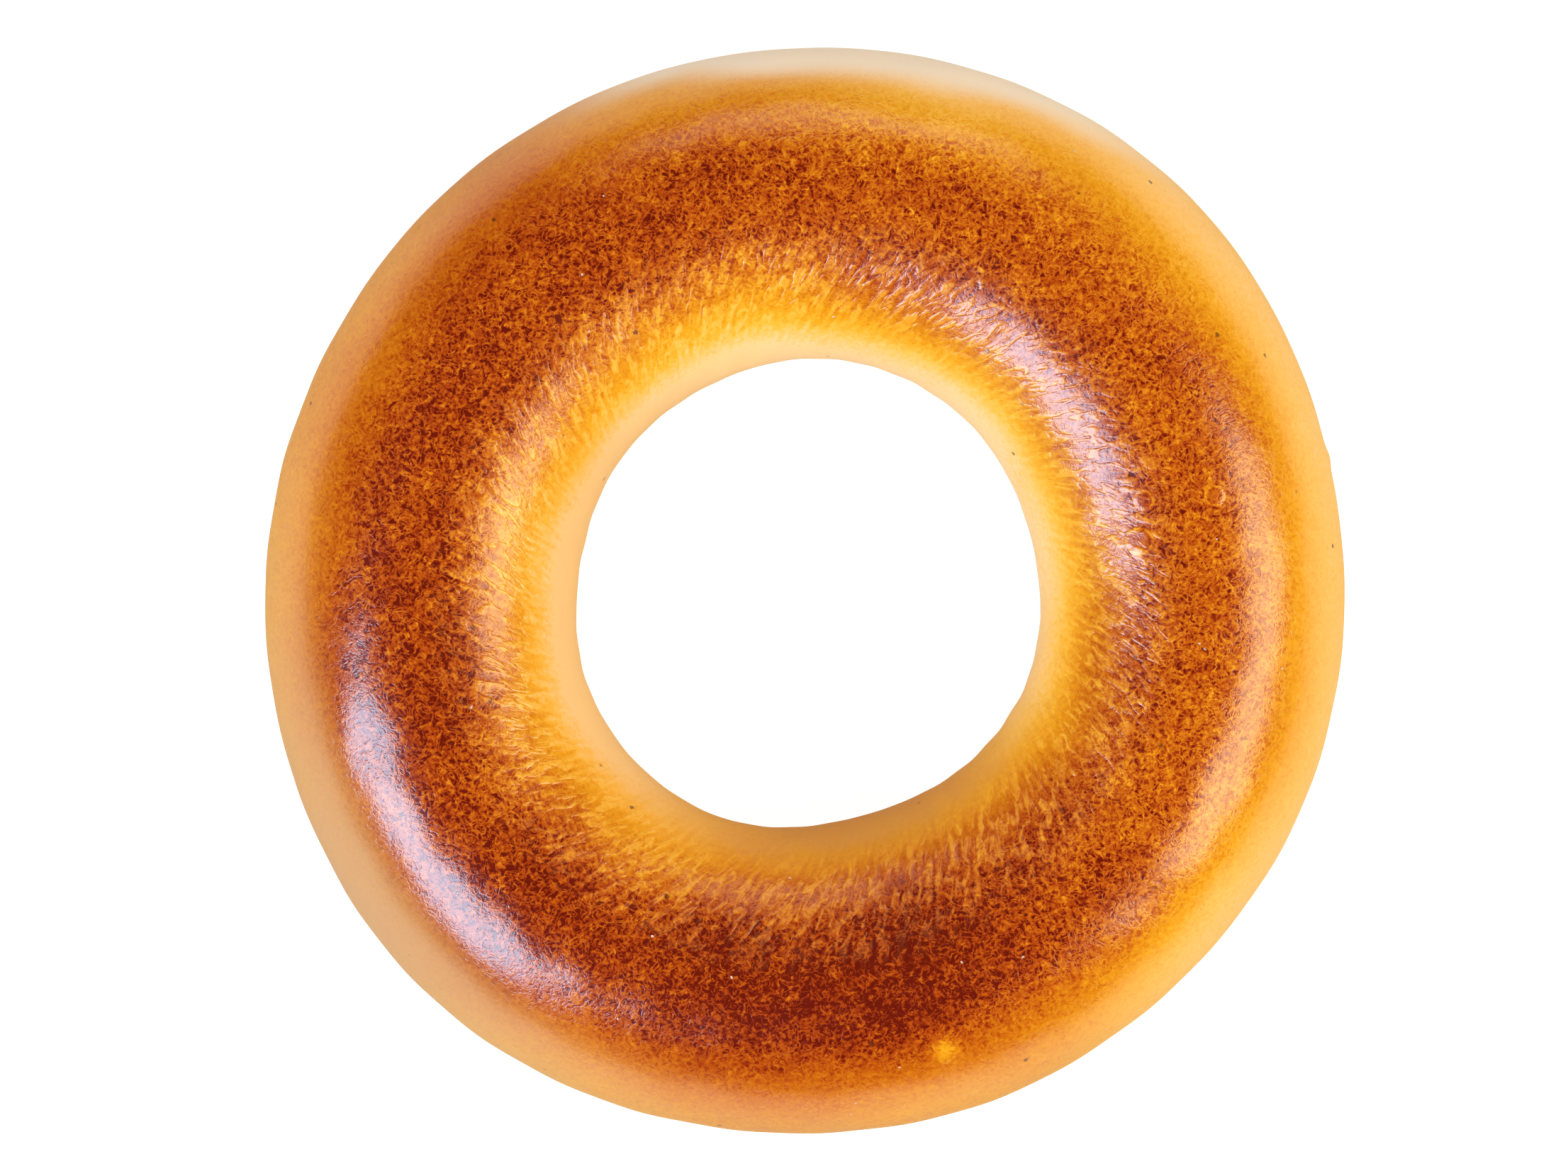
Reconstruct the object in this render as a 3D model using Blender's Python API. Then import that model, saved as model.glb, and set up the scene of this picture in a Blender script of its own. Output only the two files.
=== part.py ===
"""A small ring bagel, shaped by hand and baked as one piece.

Metres, +Z up. The origin is on the surface that the ring rests on, under the middle of its outline.
The ring is one closed solid: a rounded tube of dough, bent round until its ends meet, with a domed
top and a flat band underneath where it lay on the oven floor.
"""

import math

import bmesh
import bpy

# Driving dimensions, in metres.
OUTER_DIAMETER = 0.0700
HOLE_DIAMETER = 0.0301
HEIGHT = 0.0178
WAIST_HEIGHT = 0.0083  # where the ring is widest, above the surface it rests on
BASE_FLAT_WIDTH = 0.0072  # the band that touches the surface
HOLE_SHIFT = (0.00007, -0.00020)  # the hole's centre from the outline's centre

# A ring rolled by hand isn't quite round. Each wave is how many bulges it has, how far they
# stand out in metres, and the angle of one of them in degrees from +X towards +Y.
OUTER_WAVES = ((2, 0.00037, 55.0), (3, 0.00013, -41.0), (4, 0.00014, -39.0), (6, 0.00005, -10.0))
HOLE_WAVES = ((2, 0.00024, 53.0), (3, 0.00018, -22.0), (4, 0.00011, -30.0))

# How finely the surface is divided.
RING_STEPS = 80
DOME_STEPS = 18
FLANK_STEPS = 8
FLAT_STEPS = 2

CRUST_COLOUR = (0.47, 0.14, 0.015, 1.0)
CRUST_ROUGHNESS = 0.42


def clear_scene():
    for obj in list(bpy.data.objects):
        bpy.data.objects.remove(obj, do_unlink=True)


def radius(diameter, waves, angle):
    """The outline's distance from its own centre at an angle in radians."""
    bulges = (depth * math.cos(count * (angle - math.radians(crest))) for count, depth, crest in waves)
    return diameter / 2 + sum(bulges)


def outer_point(angle):
    """A point of the outer outline, (x, y)."""
    reach = radius(OUTER_DIAMETER, OUTER_WAVES, angle)
    return reach * math.cos(angle), reach * math.sin(angle)


def hole_point(angle):
    """A point of the hole's outline, (x, y)."""
    reach = radius(HOLE_DIAMETER, HOLE_WAVES, angle)
    return HOLE_SHIFT[0] + reach * math.cos(angle), HOLE_SHIFT[1] + reach * math.sin(angle)


def section(half_width):
    """The tube's cross-section, counter-clockwise from its outer side: (outward offset, height).

    A half ellipse over the waist, a quarter ellipse down each flank, and the flat band between them.
    """
    mean_half_width = (OUTER_DIAMETER - HOLE_DIAMETER) / 4
    dome = HEIGHT * half_width / mean_half_width - WAIST_HEIGHT
    flat = BASE_FLAT_WIDTH / 2
    flank = half_width - flat
    points = []
    for step in range(DOME_STEPS):
        turn = math.pi * step / DOME_STEPS
        points.append((half_width * math.cos(turn), WAIST_HEIGHT + dome * math.sin(turn)))
    for step in range(FLANK_STEPS):
        turn = math.pi / 2 * step / FLANK_STEPS
        points.append((-flat - flank * math.cos(turn), WAIST_HEIGHT * (1 - math.sin(turn))))
    for step in range(FLAT_STEPS):
        points.append((-flat + BASE_FLAT_WIDTH * step / FLAT_STEPS, 0.0))
    for step in range(FLANK_STEPS):
        turn = math.pi / 2 * step / FLANK_STEPS
        points.append((flat + flank * math.sin(turn), WAIST_HEIGHT * (1 - math.cos(turn))))
    return points


def ring_station(angle):
    """The cross-section's points in space at one angle around the ring."""
    outer_x, outer_y = outer_point(angle)
    hole_x, hole_y = hole_point(angle)
    across = (outer_x - hole_x, outer_y - hole_y)
    width = math.hypot(*across)
    outward = (across[0] / width, across[1] / width)
    middle = ((outer_x + hole_x) / 2, (outer_y + hole_y) / 2)
    return [
        (middle[0] + offset * outward[0], middle[1] + offset * outward[1], height)
        for offset, height in section(width / 2)
    ]


def outline_centre():
    """The middle of the outline's bounding rectangle, which becomes the origin."""
    points = [outer_point(math.tau * step / RING_STEPS) for step in range(RING_STEPS)]
    return tuple((min(side) + max(side)) / 2 for side in zip(*points))


def crust_material():
    material = bpy.data.materials.new("bagel")
    material.use_nodes = True
    shader = material.node_tree.nodes["Principled BSDF"]
    shader.inputs["Base Color"].default_value = CRUST_COLOUR
    shader.inputs["Roughness"].default_value = CRUST_ROUGHNESS
    shader.inputs["Metallic"].default_value = 0.0
    return material


def make_bagel():
    centre_x, centre_y = outline_centre()
    shape = bmesh.new()
    stations = []
    for step in range(RING_STEPS):
        points = ring_station(math.tau * step / RING_STEPS)
        stations.append([shape.verts.new((x - centre_x, y - centre_y, z)) for x, y, z in points])
    for here, ahead in zip(stations, stations[1:] + stations[:1]):
        for index in range(len(here)):
            after = (index + 1) % len(here)
            shape.faces.new((here[index], ahead[index], ahead[after], here[after]))
    bmesh.ops.recalc_face_normals(shape, faces=shape.faces)
    mesh = bpy.data.meshes.new("bagel")
    shape.to_mesh(mesh)
    shape.free()
    mesh.shade_smooth()
    mesh.materials.append(crust_material())
    bagel = bpy.data.objects.new("bagel", mesh)
    bpy.context.scene.collection.objects.link(bagel)
    return bagel


clear_scene()
make_bagel()
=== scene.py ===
"""The looks of a small dry ring bagel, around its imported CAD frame: the baked crust with its
browned crown, wrinkled skin and pale underside, and the bright table it is seen on from above."""

import math

import bpy
import numpy as np
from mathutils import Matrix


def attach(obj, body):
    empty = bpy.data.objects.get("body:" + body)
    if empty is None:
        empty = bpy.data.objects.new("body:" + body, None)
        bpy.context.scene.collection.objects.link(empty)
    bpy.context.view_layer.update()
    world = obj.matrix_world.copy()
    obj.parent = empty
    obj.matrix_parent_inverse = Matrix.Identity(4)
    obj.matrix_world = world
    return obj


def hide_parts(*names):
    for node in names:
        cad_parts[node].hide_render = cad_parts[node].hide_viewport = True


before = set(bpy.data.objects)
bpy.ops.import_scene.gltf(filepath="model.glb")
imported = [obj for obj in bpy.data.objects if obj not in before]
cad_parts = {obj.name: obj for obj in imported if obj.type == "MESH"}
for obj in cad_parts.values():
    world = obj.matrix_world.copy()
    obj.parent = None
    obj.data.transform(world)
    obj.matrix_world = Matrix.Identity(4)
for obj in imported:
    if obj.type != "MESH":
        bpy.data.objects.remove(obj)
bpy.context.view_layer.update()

TAU = math.tau
MM = 0.001

# The ring's driving dimensions, as in part.py.
OUTER_DIAMETER = 70.0 * MM
HOLE_DIAMETER = 30.1 * MM
HEIGHT = 17.8 * MM
WAIST_HEIGHT = 8.3 * MM
BASE_FLAT_WIDTH = 7.2 * MM
HOLE_SHIFT = (0.07 * MM, -0.20 * MM)
OUTER_WAVES = ((2, 0.37 * MM, 55.0), (3, 0.13 * MM, -41.0), (4, 0.14 * MM, -39.0), (6, 0.05 * MM, -10.0))
HOLE_WAVES = ((2, 0.24 * MM, 53.0), (3, 0.18 * MM, -22.0), (4, 0.11 * MM, -30.0))

# The skin's mesh: stations around the ring, then points over the dome, each flank and the flat.
RING_STEPS = 1100
DOME_STEPS = 54
FLANK_STEPS = 13
FLAT_STEPS = 10


def smooth(low, high, values):
    """0 below low, 1 above high, with soft ends; low may be the larger."""
    t = np.clip((values - low) / (high - low), 0.0, 1.0)
    return t * t * (3 - 2 * t)


def angle_from(turn, degrees):
    """How far an angle around the ring is from a direction, in degrees, from 0 to 180."""
    return np.degrees(np.abs((turn - math.radians(degrees) + math.pi) % TAU - math.pi))


def hill(distance, width):
    """A soft bump: 1 at no distance and about a third at width."""
    return np.exp(-((distance / width) ** 2))


def radius(diameter, waves, turn):
    """An outline's distance from its own centre at an angle in radians."""
    bulges = (depth * np.cos(count * (turn - math.radians(crest))) for count, depth, crest in waves)
    return diameter / 2 + sum(bulges)


def ripples(rng, turn, roll, around, across, count=48, slant=0):
    """Smooth noise of unit strength, from waves that close up both round the ring and round the tube.

    around and across are the least and most waves that fit in one turn each way. The waves lean both
    ways unless slant is 1 or -1.
    """
    total = np.zeros(np.broadcast(turn, roll).shape)
    for _ in range(count):
        sign = slant or rng.choice((-1, 1))
        here = sign * rng.integers(around[0], around[1] + 1)
        there = rng.integers(across[0], across[1] + 1)
        total += np.cos(here * turn + there * roll + rng.uniform(0, TAU))
    return total * math.sqrt(2 / count)


def ring_shape():
    """The smooth ring as in CAD, as grids of stations by tube points.

    turn is the angle around the ring and roll the angle round the tube, by length. lean runs from -1
    at the hole to 1 at the outside, and rise from -1 on the table over 0 at the waist to 1 on top.
    """
    turn = (np.arange(RING_STEPS) * TAU / RING_STEPS)[:, None]
    outer = radius(OUTER_DIAMETER, OUTER_WAVES, turn)
    hole = radius(HOLE_DIAMETER, HOLE_WAVES, turn)
    outer_xy = np.stack([outer * np.cos(turn), outer * np.sin(turn)])
    hole_xy = np.stack([HOLE_SHIFT[0] + hole * np.cos(turn), HOLE_SHIFT[1] + hole * np.sin(turn)])
    across = outer_xy - hole_xy
    width = np.hypot(*across)
    half = width / 2
    dome = HEIGHT * half / ((OUTER_DIAMETER - HOLE_DIAMETER) / 4) - WAIST_HEIGHT
    flat = BASE_FLAT_WIDTH / 2
    over = np.arange(DOME_STEPS) * math.pi / DOME_STEPS
    down = np.arange(FLANK_STEPS) * (math.pi / 2) / FLANK_STEPS
    along = np.arange(FLAT_STEPS) / FLAT_STEPS
    ones = np.ones_like(half)
    offset = np.concatenate([
        half * np.cos(over),
        -flat - (half - flat) * np.cos(down),
        ones * (BASE_FLAT_WIDTH * along - flat),
        flat + (half - flat) * np.sin(down),
    ], axis=1)
    height = np.concatenate([
        WAIST_HEIGHT + dome * np.sin(over),
        ones * WAIST_HEIGHT * (1 - np.sin(down)),
        ones * 0 * along,
        ones * WAIST_HEIGHT * (1 - np.cos(down)),
    ], axis=1)
    middle = (outer_xy + hole_xy) / 2
    outward = across / width
    x = middle[0] + offset * outward[0]
    y = middle[1] + offset * outward[1]
    centre = [(side.min() + side.max()) / 2 for side in outer_xy]
    points = np.stack([x - centre[0], y - centre[1], height], axis=-1)
    steps = np.linalg.norm(np.roll(points, -1, axis=1) - points, axis=-1).mean(0)
    roll = (np.concatenate([[0], np.cumsum(steps)[:-1]]) * TAU / steps.sum())[None, :]
    rise = np.where(height > WAIST_HEIGHT, (height - WAIST_HEIGHT) / dome, height / WAIST_HEIGHT - 1)
    return {"points": points, "turn": turn, "roll": roll, "lean": offset / half, "rise": rise}


def outward_normals(points):
    """Unit normals of a closed grid of points, from each point's neighbours."""
    round_ring = np.roll(points, -1, axis=0) - np.roll(points, 1, axis=0)
    round_tube = np.roll(points, -1, axis=1) - np.roll(points, 1, axis=1)
    normals = np.cross(round_ring, round_tube)
    return normals / np.linalg.norm(normals, axis=-1, keepdims=True)


def relief(shape, rng):
    """How far the skin stands out from the smooth ring, in metres, and its wrinkles from -1 to 1."""
    turn, roll, lean, rise = shape["turn"], shape["roll"], shape["lean"], shape["rise"]
    lumps = ripples(rng, turn, roll, (0, 7), (0, 2)) * 0.05 * MM
    dimples = ripples(rng, turn, roll, (6, 40), (0, 14), 90) * 0.018 * MM
    streaks = ripples(rng, turn, roll, (110, 210), (18, 40), 140, slant=-1)
    patches = smooth(-0.9, 0.9, ripples(rng, turn, roll, (3, 26), (0, 9), 60))
    inner_slope = smooth(0.02, -0.40, lean) * smooth(-1.03, -0.70, lean) * smooth(-0.45, 0.0, rise)
    wrinkles = np.tanh(1.2 * streaks) * inner_slope * (0.35 + 0.65 * patches)
    knob = 0.13 * MM * hill(angle_from(turn, 14.5), 1.1) * hill(rise, 0.4) * (lean > 0.5)
    on_table = smooth(-0.97, -0.75, rise)
    return (lumps + dimples + wrinkles * 0.016 * MM + knob + crumb(shape) * 0.10 * MM) * on_table, wrinkles


def crumb(shape):
    """One flake of pale dough stuck to the outer slope, 1 at its middle."""
    return hill(angle_from(shape["turn"], 287), 1.7) * hill(shape["lean"] - 0.54, 0.08) * (shape["rise"] > 0)


def fade(t):
    """From 0 to 1 as t does, a little softened at both ends."""
    return (np.clip(t, 0.0, 1.0) + smooth(0.0, 1.0, t)) / 2


def crown_depth(turn):
    """How brown the crown is: deepest towards -Y, and deeper towards -X than towards +X."""
    depth = 0.83 + 0.065 * np.cos(turn - math.radians(205)) + 0.15 * hill(angle_from(turn, 280), 26)
    return depth - 0.05 * hill(angle_from(turn, 332), 25)


def wall_depth_with_shade(shape):
    """How brown the outer and inner walls are, evening out towards the underside; on the inner wall at -Y
    this is partly painted shade.
    """
    outside = 0.12 + 0.31 * smooth(130, 70, angle_from(shape["turn"], 203))
    # Partly deeper baking and partly painted shade: the inner wall on the -Y side is browned deeper.
    inside = 0.07 + 0.36 * hill(angle_from(shape["turn"], 285), 40)
    wall = np.where(shape["lean"] > 0, outside, inside)
    return wall + (0.30 - wall) * smooth(-0.1, -0.7, shape["rise"])


def crown_cover(shape, wander):
    """How fully the crown's brown covers the skin: 1 on top, fading out on the way to both walls."""
    turn, lean = shape["turn"], shape["lean"]
    inner_reach = 0.20 * smooth(105, 50, angle_from(turn, 15)) + 0.02 * hill(angle_from(turn, 285), 35)
    outer_reach = 0.12 * hill(angle_from(turn, 125), 22) + 0.22 * hill(angle_from(turn, 209), 20)
    outer_reach = outer_reach + 0.05 * hill(angle_from(turn, 280), 25) - 0.09 * hill(angle_from(turn, 55), 25)
    outer = fade((0.99 - lean + outer_reach + wander) / 0.78)
    inner = fade((0.95 + lean + inner_reach + wander) / 0.85)
    return np.where(lean > 0, outer, inner) * smooth(-0.05, 0.20, shape["rise"])


def browning(shape, rng):
    """How deeply the oven coloured the crust, from 0 for pale dough to 1 for the darkest brown; on the inner
    wall at -Y it also holds painted shade.
    """
    turn, roll, lean, rise = shape["turn"], shape["roll"], shape["lean"], shape["rise"]
    wander = 0.035 * ripples(rng, turn, roll, (2, 12), (0, 3))
    cover = crown_cover(shape, wander)
    wall = wall_depth_with_shade(shape)
    sole = 0.10 * smooth(-0.88, -0.995, rise)
    lip = 0.16 * smooth(-0.74, -0.95, lean) * smooth(30, 75, angle_from(turn, 280)) * smooth(-0.8, 0.0, rise)
    blotches = 0.014 * ripples(rng, turn, roll, (2, 20), (0, 8), 60) * (0.4 + 0.6 * cover)
    return wall + (crown_depth(turn) - wall) * cover + blotches + sole - lip - 0.35 * crumb(shape)


def felt_strength(shape):
    """The fuzz of fine threads is strongest on the browned crown and fades down both walls."""
    lean = shape["lean"]
    crown = smooth(-0.80, -0.15, lean) * smooth(0.80, 0.20, lean)
    return 0.22 + 0.78 * crown * smooth(-0.1, 0.4, shape["rise"])


def pleat_strength(shape):
    """The skin is pleated on the upper slope towards the hole."""
    lean = shape["lean"]
    return smooth(-0.02, -0.38, lean) * smooth(-0.95, -0.62, lean) * smooth(-0.1, 0.3, shape["rise"])


def kiss_mark(shape, rng):
    """Where a neighbouring ring touched this one in the oven and the dough stayed pale."""
    turn, roll, lean, rise = shape["turn"], shape["roll"], shape["lean"], shape["rise"]
    ragged = ripples(rng, turn, roll, (4, 30), (0, 8), 60)
    reach = hill(angle_from(turn, 83), 28)
    edge = 1.0 - 0.17 * reach + 0.015 * ragged
    return smooth(edge - 0.11, edge + 0.06, lean) * smooth(0.05, 0.6, reach) * smooth(-0.9, -0.5, rise)


def inner_wall_shade_mark(shape):
    """Painted shade: the inner wall on the -Y side, mixed to a darker and less red tone."""
    return 0.8 * hill(angle_from(shape["turn"], 285), 42) * smooth(-0.62, -0.90, shape["lean"])


def outer_wall_shade_sheen_mark(shape):
    """Painted shade and sheen: the outer wall around 214 degrees, darkened to a greyer, less orange tone."""
    return 0.75 * hill(angle_from(shape["turn"], 214), 30) * smooth(0.50, 0.78, shape["lean"])


def grid_faces(rings, rolls):
    """Quads of a closed grid, counter-clockwise seen from outside."""
    index = np.arange(rings * rolls).reshape(rings, rolls)
    ahead = np.roll(index, -1, axis=0)
    quads = [index, ahead, np.roll(ahead, -1, axis=1), np.roll(index, -1, axis=1)]
    return np.stack(quads, axis=-1).reshape(-1, 4)


def quad_mesh(name, points, quads):
    """A smooth-shaded mesh of points and four-sided faces."""
    mesh = bpy.data.meshes.new(name)
    mesh.vertices.add(len(points))
    mesh.vertices.foreach_set("co", points.astype(np.float32).ravel())
    mesh.loops.add(quads.size)
    mesh.loops.foreach_set("vertex_index", quads.astype(np.int32).ravel())
    mesh.polygons.add(len(quads))
    mesh.polygons.foreach_set("loop_start", np.arange(0, quads.size, 4, dtype=np.int32))
    mesh.update(calc_edges=True)
    mesh.shade_smooth()
    return mesh


def add_attribute(mesh, name, values):
    layer = mesh.attributes.new(name, "FLOAT", "POINT")
    layer.data.foreach_set("value", np.ascontiguousarray(values, np.float32).ravel())


def add_place(mesh, name, places):
    layer = mesh.attributes.new(name, "FLOAT_VECTOR", "POINT")
    layer.data.foreach_set("vector", np.ascontiguousarray(places, np.float32).ravel())


def skin_place(shape):
    """A place on the unrolled skin, in millimetres: two parts go around the ring and one across it.

    It is sheared, so that a pattern stretched across the skin leans as the wrinkles do.
    """
    slope_radius, tube_girth, shear = 20.0, 56.0, 0.50
    turn, roll = np.broadcast_arrays(shape["turn"], shape["roll"])
    across = roll * tube_girth / TAU
    around = turn - shear * across / slope_radius
    return np.stack([slope_radius * np.cos(around), slope_radius * np.sin(around), across], axis=-1)


def add_half_ring_map(mesh, rings, rolls):
    """A UV map of two strips, one for each half of the ring, so that every face has its own place."""
    ring, tube = np.meshgrid(np.arange(rings), np.arange(rolls), indexing="ij")
    half = rings // 2
    strip, start = ring // half, ring % half
    left, right = start / half, (start + 1) / half
    low, high = tube / rolls, (tube + 1) / rolls
    margin = 0.004
    u = np.stack([left, right, right, left], axis=-1) * (1 - 2 * margin) + margin
    v = np.stack([low, low, high, high], axis=-1) * (0.5 - 2 * margin) + margin
    v = v + 0.5 * strip[..., None]
    layer = mesh.uv_layers.new(name="OFBake")
    layer.data.foreach_set("uv", np.stack([u, v], axis=-1).astype(np.float32).ravel())


class Nodes:
    """Short ways to add and join shader nodes in one material."""

    def __init__(self, material):
        material.use_nodes = True
        self.tree = material.node_tree
        self.shader = self.tree.nodes["Principled BSDF"]

    def new(self, kind, inputs=None, **settings):
        node = self.tree.nodes.new(kind)
        for name, value in settings.items():
            setattr(node, name, value)
        for name, value in (inputs or {}).items():
            self.put(node.inputs[name], value)
        return node

    def put(self, socket, value):
        if isinstance(value, bpy.types.NodeSocket):
            self.tree.links.new(value, socket)
        else:
            socket.default_value = value

    def attribute(self, name):
        return self.new("ShaderNodeAttribute", attribute_name=name).outputs["Fac"]

    def math(self, operation, *values):
        node = self.new("ShaderNodeMath", operation=operation)
        for socket, value in zip(node.inputs, values):
            self.put(socket, value)
        return node.outputs["Value"]

    def scaled(self, vector, factor):
        node = self.new("ShaderNodeVectorMath", operation="SCALE")
        self.put(node.inputs[0], vector)
        self.put(node.inputs["Scale"], factor)
        return node.outputs["Vector"]

    def stretched(self, vector, factors):
        inputs = {0: vector, 1: factors}
        return self.new("ShaderNodeVectorMath", inputs, operation="MULTIPLY").outputs["Vector"]

    def added(self, first, second):
        return self.new("ShaderNodeVectorMath", {0: first, 1: second}, operation="ADD").outputs["Vector"]

    def crest(self, value, half_width):
        """1 along the lines where a noise crosses its middle, falling to 0 at half_width to each side."""
        off = self.math("ABSOLUTE", self.math("SUBTRACT", value, 0.5))
        return self.span(off, 0.0, half_width, 1.0, 0.0)

    def dots(self, place, spacing, size):
        """1 inside small round dots, up to size in radius and about spacing apart, and 0 outside."""
        inputs = {"Vector": place, "Scale": 1 / spacing}
        cells = self.new("ShaderNodeTexVoronoi", inputs, feature="F1", voronoi_dimensions="3D")
        return self.span(cells.outputs["Distance"], 0.6 * size / spacing, size / spacing, 1.0, 0.0)

    def away_from(self, place, degrees, out):
        """The distance, seen from above, from a spot given by its angle and distance from the middle."""
        spot = (out * math.cos(math.radians(degrees)), out * math.sin(math.radians(degrees)), 0.0)
        inputs = {0: self.stretched(place, (1.0, 1.0, 0.0)), 1: spot}
        return self.new("ShaderNodeVectorMath", inputs, operation="DISTANCE").outputs["Value"]

    def span(self, value, low, high, new_low=0.0, new_high=1.0):
        """Maps low..high to new_low..new_high, held at both ends."""
        inputs = {"Value": value, "From Min": low, "From Max": high, "To Min": new_low, "To Max": new_high}
        return self.new("ShaderNodeMapRange", inputs).outputs["Result"]

    def noise(self, place, scale, detail=2.0, roughness=0.5, distortion=0.0):
        """Soft noise around 0.5, with about scale lumps to each unit of the place."""
        inputs = {"Vector": place, "Scale": scale, "Detail": detail, "Roughness": roughness}
        inputs["Distortion"] = distortion
        node = self.new("ShaderNodeTexNoise", inputs, noise_type="FBM", noise_dimensions="3D")
        return node.outputs["Fac"]

    def mix(self, amount, first, second):
        """A colour between two, the first at amount 0 and the second at 1."""
        node = self.new("ShaderNodeMix", data_type="RGBA", blend_type="MIX")
        self.put(node.inputs[0], amount)
        self.put(node.inputs[6], first)
        self.put(node.inputs[7], second)
        return node.outputs[2]

    def ramp(self, value, stops):
        """The colour at a value between 0 and 1, from (position, colour) stops."""
        node = self.new("ShaderNodeValToRGB", {"Fac": value})
        elements = node.color_ramp.elements
        while len(elements) < len(stops):
            elements.new(0.5)
        for element, (position, colour) in zip(elements, stops):
            element.position = position
            element.color = (*colour, 1.0)
        return node.outputs["Color"]


# Crust colours by depth of browning, linear RGB.
CRUST_COLOURS = (
    (0.00, (0.88, 0.60, 0.27)),
    (0.10, (0.87, 0.53, 0.15)),
    (0.20, (0.85, 0.47, 0.055)),
    (0.32, (0.78, 0.37, 0.012)),
    (0.45, (0.68, 0.265, 0.003)),
    (0.60, (0.54, 0.145, 0.001)),
    (0.75, (0.40, 0.066, 0.0)),
    (0.88, (0.27, 0.026, 0.0)),
    (1.00, (0.12, 0.005, 0.0)),
)
KISS_COLOUR = (0.87, 0.77, 0.64, 1.0)  # pale dough, where a neighbour touched
RIDGE_COLOUR = (0.82, 0.45, 0.13, 1.0)  # dry tops of the pleats
# painted shade on the inner wall on one side: darker and less red
INNER_WALL_SHADE_COLOUR = (0.63, 0.29, 0.004, 1.0)
# painted shade and grey sheen on the outer wall on one side
OUTER_WALL_SHADE_SHEEN_COLOUR = (0.52, 0.28, 0.10, 1.0)
BRAN_COLOUR = (0.09, 0.022, 0.005, 1.0)
SUGAR_COLOUR = (0.80, 0.68, 0.60, 1.0)

# Small blisters in the skin: angle in degrees and distance in mm from the middle, then width in mm.
BLISTERS = ((13.0, 26.6, 1.20), (14.9, 22.2, 1.15), (8.4, 21.4, 1.60))


def felted_threads(n, place):
    """Crossing threads at two sizes, 1 along the coarse ones and a little less along the fine ones."""
    coarse = n.crest(n.noise(place, 1.1, 1.8, 0.55, 1.2), 0.090)
    fine = n.crest(n.noise(place, 2.2, 1.4, 0.5, 0.9), 0.120)
    return n.math("MAXIMUM", coarse, n.math("MULTIPLY", fine, 0.85))


def slanting_pleats(n, slope):
    """Narrow raised pleats down the slope towards the hole, leaning as the wrinkles do."""
    along_skin = n.new("ShaderNodeAttribute", attribute_name="skin").outputs["Vector"]
    folds = n.noise(n.stretched(along_skin, (1.9, 1.9, 0.90)), 1.0, 1.2, 0.5, 1.0)
    return n.math("MULTIPLY", n.span(folds, 0.47, 0.65), slope)


def stray_fibres(n, place, felt):
    """A few single pale fibres, in scattered patches of the felt."""
    lines = n.crest(n.noise(place, 0.75, 1.0, 0.5, 1.6), 0.030)
    patches = n.span(n.noise(place, 0.6, 1.0), 0.57, 0.63)
    return n.math("MULTIPLY", n.math("MULTIPLY", lines, patches), felt)


def blisters(n, place, top):
    """The domes and the rims of the small blisters on top, each from 0 to 1."""
    domes, rims = 0.0, 0.0
    for degrees, out, width in BLISTERS:
        away = n.away_from(place, degrees, out)
        domes = n.math("MAXIMUM", domes, n.span(away, 0.35 * width, 0.60 * width, 1.0, 0.0))
        to_rim = n.math("ABSOLUTE", n.math("SUBTRACT", away, width / 2))
        rims = n.math("MAXIMUM", rims, n.span(to_rim, 0.02, 0.14, 1.0, 0.0))
    return n.math("MULTIPLY", domes, top), n.math("MULTIPLY", rims, top)


def specks(n, place, top):
    """Dark bran specks all over and pale sugar grains on top, each 1 inside and a little ragged."""
    warp = n.new("ShaderNodeTexNoise", {"Vector": place, "Scale": 5.0, "Detail": 1.0}).outputs["Color"]
    warped = n.added(place, n.scaled(warp, 0.22))
    bran = n.dots(n.stretched(warped, (-1.0, 1.0, 1.0)), 3.8, 0.19)
    sugar = n.dots(warped, 2.8, 0.10)
    return bran, n.math("MULTIPLY", sugar, top)


def skin_patterns(n):
    """What varies over the skin apart from its marks: mesh attributes, and patterns in millimetres."""
    place = n.scaled(n.new("ShaderNodeTexCoord").outputs["Object"], 1 / MM)
    skin = {name: n.attribute(name) for name in ("browning", "felt", "wrinkle", "slope", "shine")}
    skin["place"] = place
    skin["threads"] = felted_threads(n, place)
    skin["grain"] = n.span(n.noise(place, 3.2, 2.0, 0.6, 0.4), 0.3, 0.7, -1.0, 1.0)
    skin["pleats"] = slanting_pleats(n, skin["slope"])
    skin["fibres"] = stray_fibres(n, place, skin["felt"])
    skin["domes"], skin["rims"] = blisters(n, place, skin["shine"])
    skin["bran"], skin["sugar"] = specks(n, place, skin["shine"])
    return skin


def felt_texture(n, skin):
    """How much the felt darkens or lightens the crust: threads are paler than what lies between."""
    clumps = n.span(n.noise(skin["place"], 0.9, 2.0, 0.5, 0.5), 0.35, 0.65, 0.75, 1.3)
    mottle = n.span(n.noise(skin["place"], 0.55, 3.0, 0.55, 0.3), 0.3, 0.7, -1.0, 1.0)
    texture = n.math("MULTIPLY_ADD", skin["threads"], -0.34, 0.17)
    texture = n.math("MULTIPLY", texture, clumps)
    texture = n.math("MULTIPLY_ADD", skin["grain"], -0.15, texture)
    texture = n.math("MULTIPLY_ADD", mottle, 0.05, texture)
    return n.math("MULTIPLY", texture, n.math("MULTIPLY_ADD", skin["domes"], -0.4, 1.0))


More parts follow.
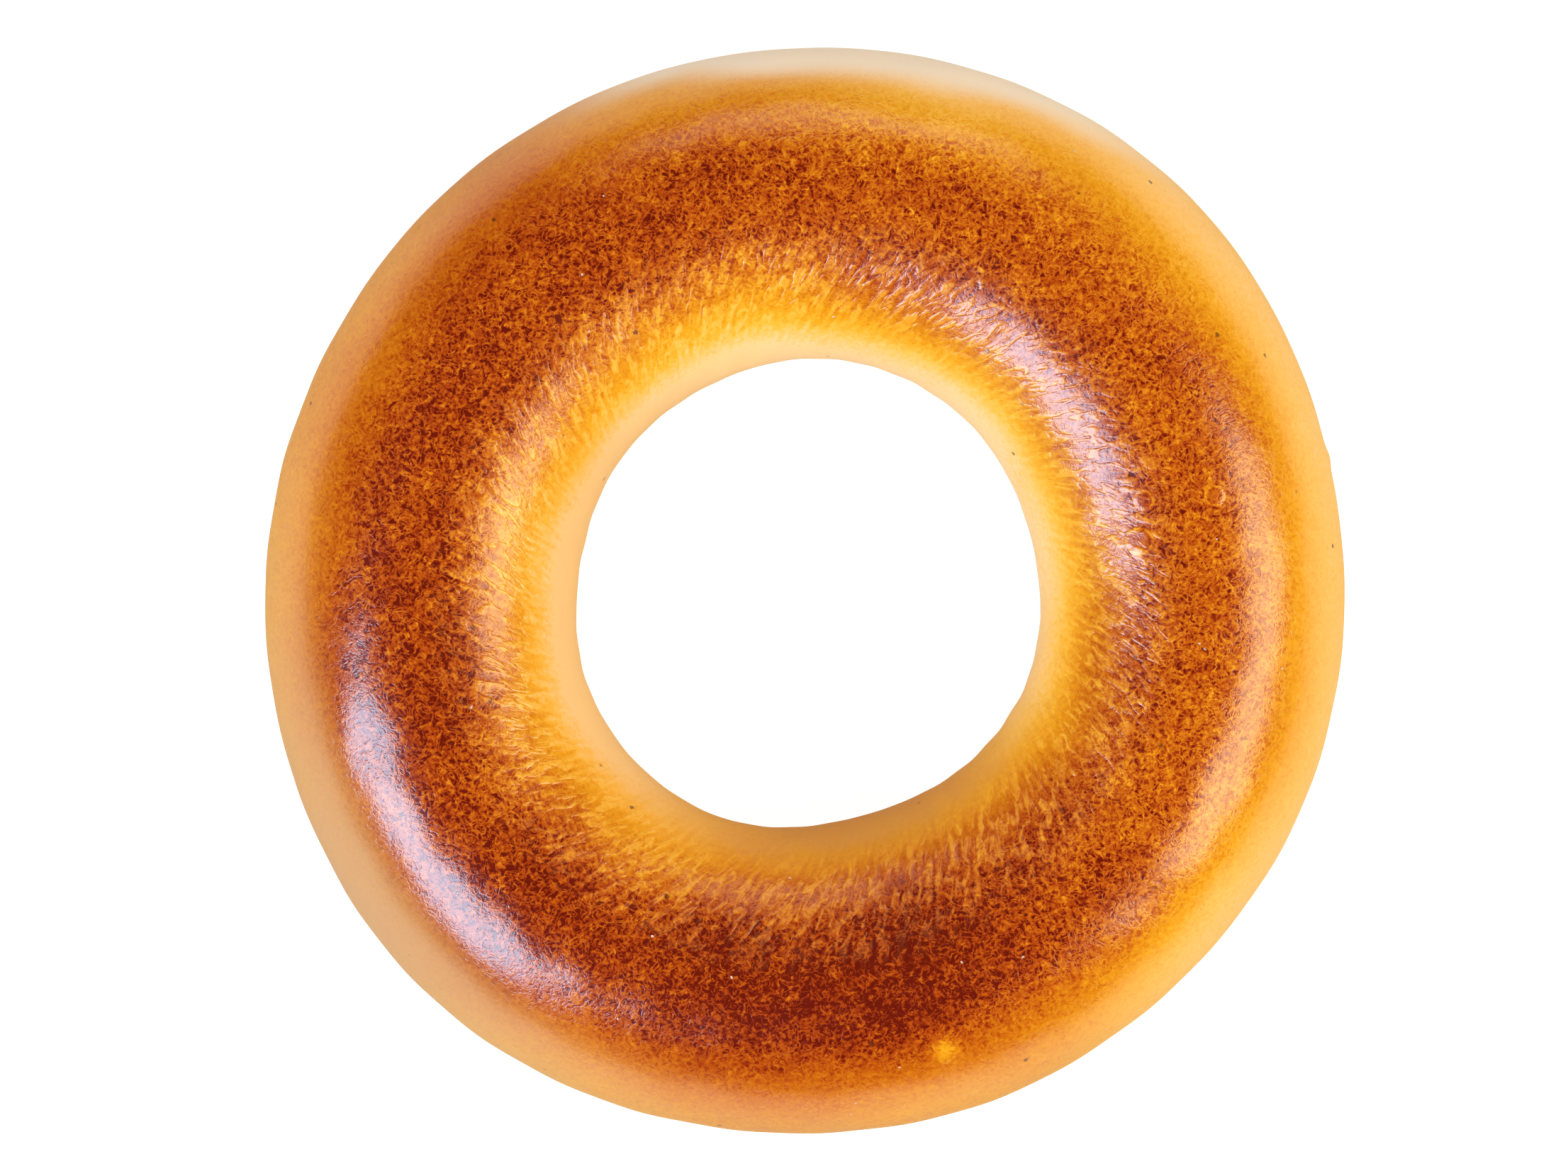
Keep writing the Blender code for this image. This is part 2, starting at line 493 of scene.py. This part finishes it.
def browned_depth(n, skin):
    """The depth of browning with the skin's patterns in it: raised details are paler."""
    depth = n.math("MULTIPLY_ADD", felt_texture(n, skin), skin["felt"], skin["browning"])
    depth = n.math("ADD", depth, n.math("MULTIPLY", skin["slope"], 0.07))
    depth = n.math("MULTIPLY_ADD", skin["pleats"], -0.17, depth)
    depth = n.math("MULTIPLY_ADD", skin["wrinkle"], -0.06, depth)
    depth = n.math("MULTIPLY_ADD", skin["rims"], -0.20, depth)
    return n.math("MULTIPLY_ADD", skin["fibres"], -0.20, depth)


def crust_colour(n, skin):
    """The browned colour, then the marks (two of them painted shade and sheen), the bran and the sugar laid
    over it.
    """
    colour = n.ramp(browned_depth(n, skin), CRUST_COLOURS)
    colour = n.mix(n.math("MULTIPLY", skin["pleats"], 0.10), colour, RIDGE_COLOUR)
    colour = n.mix(n.attribute("kiss"), colour, KISS_COLOUR)
    # painted shade on the inner wall on the -Y side
    colour = n.mix(n.attribute("inner_wall_shade"), colour, INNER_WALL_SHADE_COLOUR)
    # painted shade and grey sheen on the outer wall around 214 degrees
    colour = n.mix(n.attribute("tan"), colour, OUTER_WALL_SHADE_SHEEN_COLOUR)
    colour = n.mix(n.math("MULTIPLY", skin["bran"], 0.75), colour, BRAN_COLOUR)
    return n.mix(n.math("MULTIPLY", skin["sugar"], 0.85), colour, SUGAR_COLOUR)


def crust_roughness(n, skin):
    """Glossy on top, satin on the walls, and a little duller on the pleated slope."""
    rough = n.math("MULTIPLY_ADD", skin["shine"], -0.36, 0.55)
    rough = n.math("MULTIPLY_ADD", skin["grain"], 0.02, rough)
    return n.math("MULTIPLY_ADD", skin["slope"], 0.04, rough)


def crust_bump(n, skin):
    """The details too fine for the mesh, as a normal."""
    height = n.math("MULTIPLY_ADD", skin["threads"], 0.19, n.math("MULTIPLY", skin["grain"], 0.09))
    height = n.math("MULTIPLY_ADD", skin["pleats"], 0.8, n.math("MULTIPLY", height, skin["shine"]))
    height = n.math("MULTIPLY_ADD", skin["domes"], 1.2, height)
    height = n.math("MULTIPLY_ADD", skin["sugar"], 1.5, height)
    bump = n.new("ShaderNodeBump", {"Height": height, "Distance": 0.03 * MM, "Strength": 1.0})
    return bump.outputs["Normal"]


def crust_material():
    material = bpy.data.materials.new("baked_crust")
    n = Nodes(material)
    skin = skin_patterns(n)
    n.put(n.shader.inputs["Base Color"], crust_colour(n, skin))
    n.put(n.shader.inputs["Roughness"], crust_roughness(n, skin))
    n.put(n.shader.inputs["Normal"], crust_bump(n, skin))
    n.shader.inputs["Specular IOR Level"].default_value = 0.8
    return material


def make_crust():
    """The whole ring as one skin, which stands for the CAD solid."""
    rng = np.random.default_rng(7)
    shape = ring_shape()
    lift, wrinkles = relief(shape, rng)
    points = shape["points"] + outward_normals(shape["points"]) * lift[..., None]
    points[..., 2] = np.maximum(points[..., 2], 0.0)
    rings, rolls = points.shape[:2]
    mesh = quad_mesh("bagel_crust", points.reshape(-1, 3), grid_faces(rings, rolls))
    add_attribute(mesh, "browning", browning(shape, rng))
    add_attribute(mesh, "wrinkle", wrinkles)
    add_attribute(mesh, "felt", felt_strength(shape))
    add_attribute(mesh, "slope", pleat_strength(shape))
    add_attribute(mesh, "kiss", kiss_mark(shape, rng))
    # painted shade on the inner wall on the -Y side
    add_attribute(mesh, "inner_wall_shade", inner_wall_shade_mark(shape))
    # painted shade and grey sheen on the outer wall around 214 degrees
    add_attribute(mesh, "tan", outer_wall_shade_sheen_mark(shape))
    add_place(mesh, "skin", skin_place(shape))
    add_attribute(mesh, "shine", smooth(0.25, 0.75, shape["rise"]))
    add_half_ring_map(mesh, rings, rolls)
    mesh.materials.append(crust_material())
    crust = bpy.data.objects.new("bagel_crust", mesh)
    bpy.context.scene.collection.objects.link(crust)
    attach(crust, "root")
    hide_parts("bagel")


def make_floor():
    """A white lit table, a hair under the ring so that no faces share a plane."""
    size, gap = 3.0, 0.1 * MM
    points = np.array([[-1, -1, 0], [1, -1, 0], [1, 1, 0], [-1, 1, 0]]) * size / 2 - [0, 0, gap]
    mesh = quad_mesh("floor", points, np.array([[0, 1, 2, 3]]))
    mesh.materials.append(table_material())
    floor = bpy.data.objects.new("floor", mesh)
    bpy.context.scene.collection.objects.link(floor)


def table_material():
    """White where the camera sees it, and a much weaker glow for everything else."""
    material = bpy.data.materials.new("white_table")
    n = Nodes(material)
    seen = n.new("ShaderNodeLightPath").outputs["Is Camera Ray"]
    n.shader.inputs["Base Color"].default_value = (0.42, 0.42, 0.42, 1.0)
    n.shader.inputs["Roughness"].default_value = 0.9
    n.shader.inputs["Specular IOR Level"].default_value = 0.0
    n.shader.inputs["Emission Color"].default_value = (1.0, 1.0, 1.0, 1.0)
    n.put(n.shader.inputs["Emission Strength"], n.span(seen, 0.0, 1.0, 0.20, 0.90))
    return material


# From the ring to each lamp, in metres.
LAMP_DISTANCE = 0.45


def aim(obj, azimuth, elevation, distance, target):
    """Puts an object out in a direction from the target, facing it."""
    azimuth, elevation = math.radians(azimuth), math.radians(elevation)
    flat = math.cos(elevation)
    obj.location = (
        target[0] + distance * flat * math.cos(azimuth),
        target[1] + distance * flat * math.sin(azimuth),
        target[2] + distance * math.sin(elevation),
    )
    obj.rotation_euler = (math.pi / 2 - elevation, 0.0, azimuth + math.pi / 2)


def soft_light(name, azimuth, elevation, width, height, radiance, colour):
    """A softbox: how bright its face looks, and not its power, is what is set."""
    data = bpy.data.lights.new(name, "AREA")
    data.shape = "RECTANGLE"
    data.size, data.size_y = width, height
    data.energy = radiance * math.pi * width * height
    data.color = colour
    light = bpy.data.objects.new(name, data)
    bpy.context.scene.collection.objects.link(light)
    aim(light, azimuth, elevation, LAMP_DISTANCE, (0.0, 0.0, WAIST_HEIGHT))


def make_lights():
    """One cool window and two weaker fills, with dark gaps between them, as the crust's gloss shows."""
    cool, golden, cream = (0.58, 0.77, 1.0), (1.0, 0.90, 0.62), (1.0, 0.92, 0.75)
    soft_light("window", azimuth=215, elevation=38, width=0.30, height=0.22, radiance=10.8, colour=cool)
    soft_light("right_fill", azimuth=347, elevation=37, width=0.34, height=0.20, radiance=4.9, colour=golden)
    soft_light("top_fill", azimuth=88, elevation=26, width=0.34, height=0.12, radiance=1.4, colour=cream)


def make_world():
    """Even, warm light for the matt colours, which the gloss doesn't mirror."""
    world = bpy.data.worlds.new("light_tent")
    bpy.context.scene.world = world
    world.use_nodes = True
    background = world.node_tree.nodes["Background"]
    background.inputs["Color"].default_value = (1.0, 0.82, 0.64, 1.0)
    background.inputs["Strength"].default_value = 0.82
    world.cycles_visibility.glossy = False


def make_camera():
    """Straight down at the ring, which sits a little right of the middle of the picture."""
    data = bpy.data.cameras.new("camera")
    data.sensor_width = 36.0
    data.lens = 180.0
    camera = bpy.data.objects.new("camera", data)
    camera.location = (-1.35 * MM, 0.15 * MM, 514.0 * MM)
    bpy.context.scene.collection.objects.link(camera)
    bpy.context.scene.camera = camera


bpy.context.scene.view_settings.view_transform = "Standard"
make_camera()
make_crust()
make_floor()
make_lights()
make_world()
